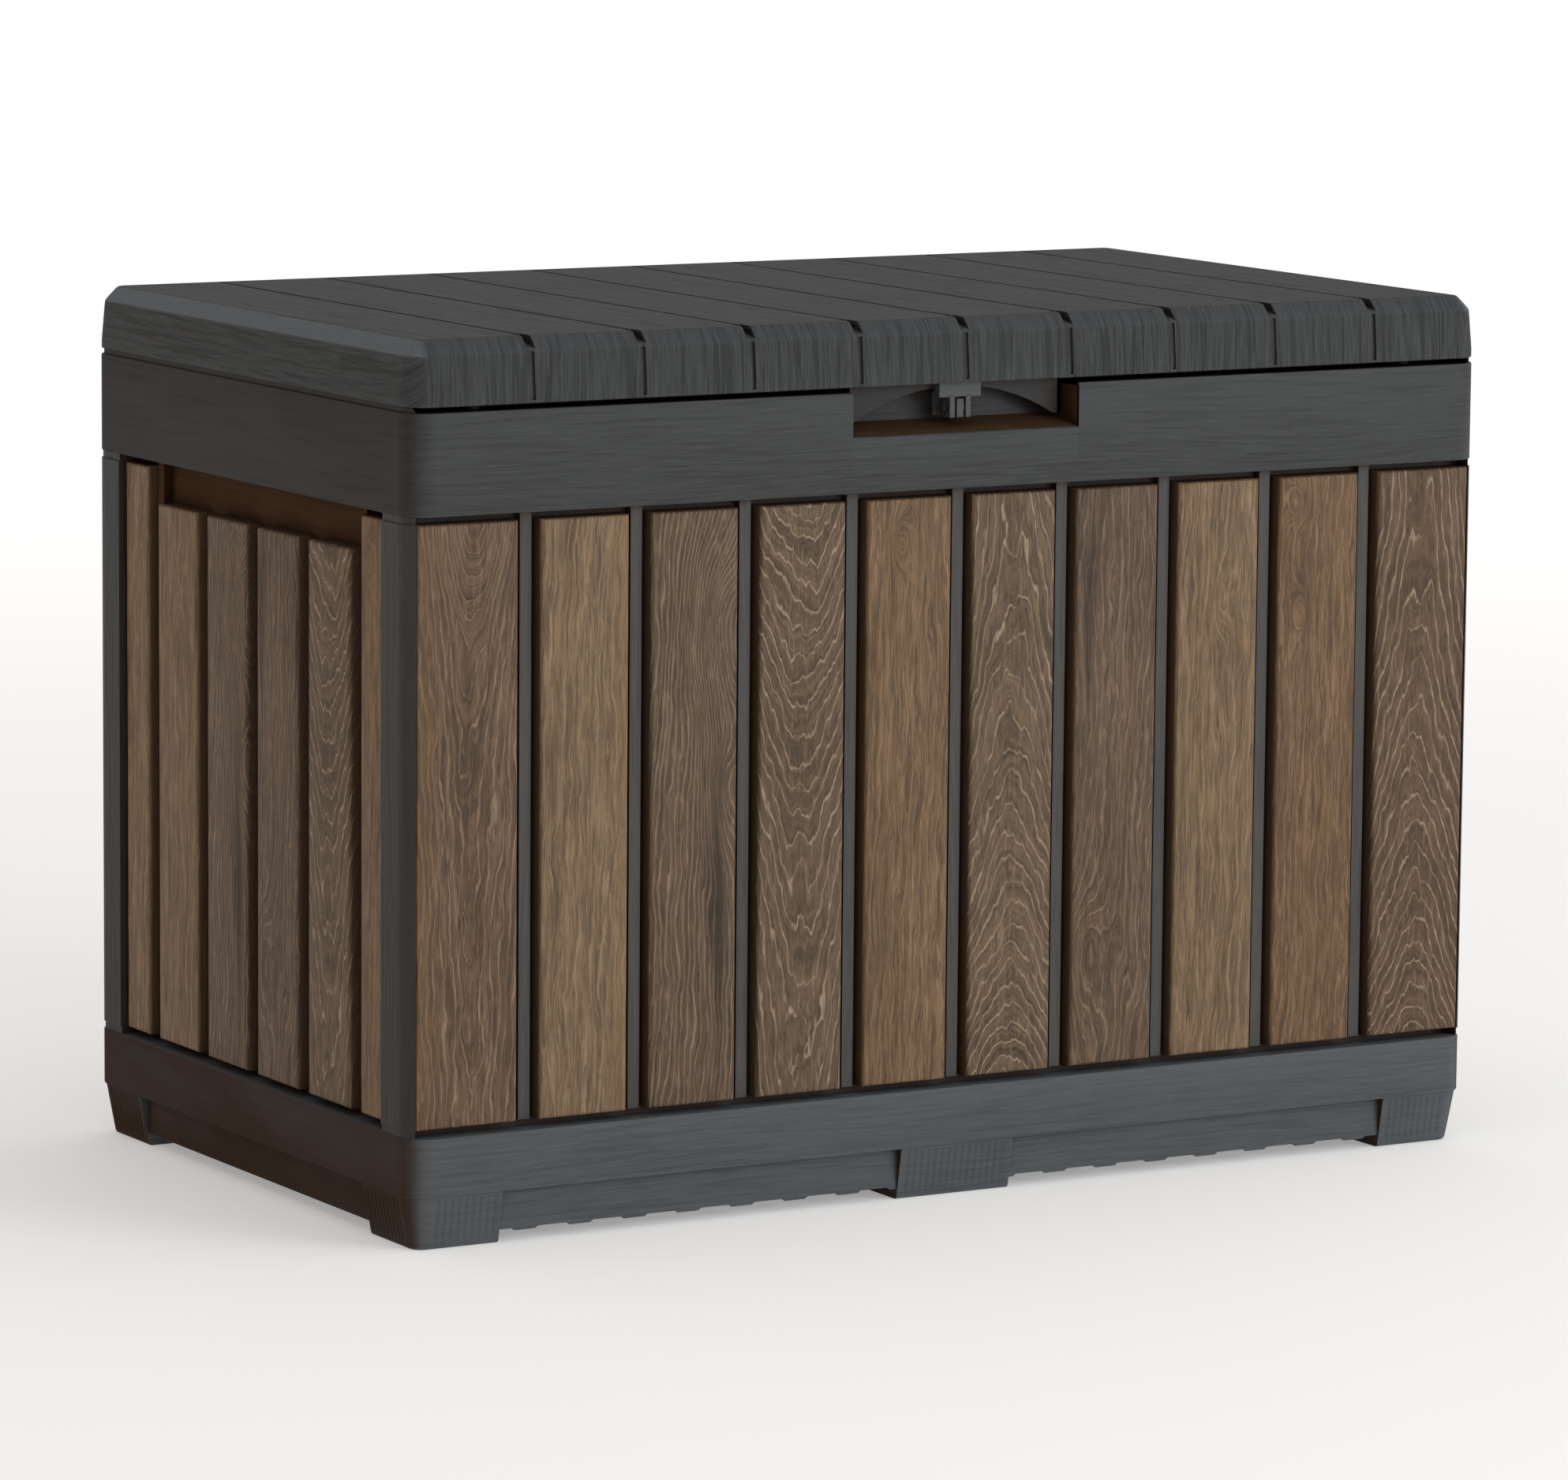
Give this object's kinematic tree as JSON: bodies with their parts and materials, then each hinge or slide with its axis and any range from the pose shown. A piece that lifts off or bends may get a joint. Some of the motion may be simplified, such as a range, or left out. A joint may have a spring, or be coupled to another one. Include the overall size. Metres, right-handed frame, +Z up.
{
  "type": "deck storage box",
  "caption": "Upright-planked resin deck box with a hinged flat planked lid, a front finger recess with a padlock eye and a hand-hold in each end.",
  "frame": {"origin": "centre of the outline on the ground under the feet", "axes": "+X along the box's width, +Y from the front towards the hinged back, +Z up"},
  "size_m": [1.08, 0.62, 0.77],
  "materials": {
    "graphite_resin": "fine embossed wood grain, satin",
    "wood_look_resin": "printed limed-oak grain, satin",
    "zinc_steel": "zinc plated",
    "rubber": "matt"
  },
  "bodies": {
    "box": {"base_frame": "graphite_resin", "floor_panel": "graphite_resin", "front_panel": "graphite_resin", "back_panel": "graphite_resin", "left_panel": "graphite_resin", "right_panel": "graphite_resin", "left_grip_plate": "graphite_resin", "right_grip_plate": "graphite_resin", "front_left_post": "graphite_resin", "front_right_post": "graphite_resin", "back_left_post": "graphite_resin", "back_right_post": "graphite_resin", "front_rim": "graphite_resin", "back_rim": "graphite_resin", "left_rim": "graphite_resin", "right_rim": "graphite_resin", "lock_eye": "graphite_resin", "front_plank_1": "wood_look_resin", "front_plank_2": "wood_look_resin", "front_plank_3": "wood_look_resin", "front_plank_4": "wood_look_resin", "front_plank_5": "wood_look_resin", "front_plank_6": "wood_look_resin", "front_plank_7": "wood_look_resin", "front_plank_8": "wood_look_resin", "front_plank_9": "wood_look_resin", "front_plank_10": "wood_look_resin", "left_plank_1": "wood_look_resin", "left_plank_2": "wood_look_resin", "left_plank_3": "wood_look_resin", "left_plank_4": "wood_look_resin", "left_plank_5": "wood_look_resin", "left_plank_6": "wood_look_resin", "right_plank_1": "wood_look_resin", "right_plank_2": "wood_look_resin", "right_plank_3": "wood_look_resin", "right_plank_4": "wood_look_resin", "right_plank_5": "wood_look_resin", "right_plank_6": "wood_look_resin", "back_planks": "wood_look_resin", "box_hinge_screws": "zinc_steel", "box_hinge_leaf_1": "zinc_steel", "box_hinge_leaf_2": "zinc_steel", "box_hinge_leaf_3": "zinc_steel", "hinge_pin_1": "zinc_steel", "hinge_pin_2": "zinc_steel", "hinge_pin_3": "zinc_steel"},
    "lid": {"lid_shell": "graphite_resin", "lid_liner": "graphite_resin", "lid_buffers": "rubber", "lid_hinge_screws": "zinc_steel", "lock_hasp": "graphite_resin", "hasp_screws": "zinc_steel", "lid_hinge_leaf_1": "zinc_steel", "lid_hinge_leaf_2": "zinc_steel", "lid_hinge_leaf_3": "zinc_steel"}
  },
  "joints": [
    {"name": "lid_hinge", "type": "hinge", "parent": "box", "child": "lid", "pos_m": [0, 0.303, 0.7122], "axis": [-1, 0, 0], "range_deg": [0, 95]}
  ]
}
